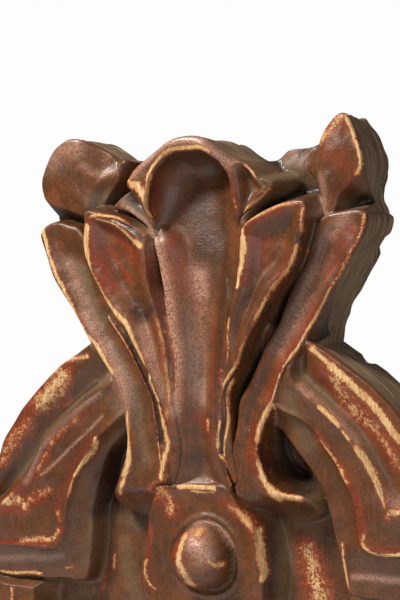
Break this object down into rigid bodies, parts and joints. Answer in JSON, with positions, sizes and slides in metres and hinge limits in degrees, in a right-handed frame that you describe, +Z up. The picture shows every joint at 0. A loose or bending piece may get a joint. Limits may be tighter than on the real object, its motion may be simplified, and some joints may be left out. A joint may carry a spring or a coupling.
{
  "type": "carved wood wall applique",
  "caption": "Thick carved wall ornament: a palmette of dished leaves around a fluted hood rises through an oval strapwork frame with a domed boss; flat back, worn lacquer over gesso.",
  "frame": {"origin": "on the flat back, straight behind the centre line of the round boss, at the boss's height", "axes": "+Z up along the length of the ornament, +Y out of its flat back into the wall, the carved face looks along -Y"},
  "size_m": [0.422, 0.0749, 0.6392],
  "materials": {
    "old_lacquer": "old red-brown lacquer, waxed, worn through to pale gesso on the edges"
  },
  "bodies": {
    "root": {"carved_applique": "old_lacquer"}
  },
  "joints": []
}
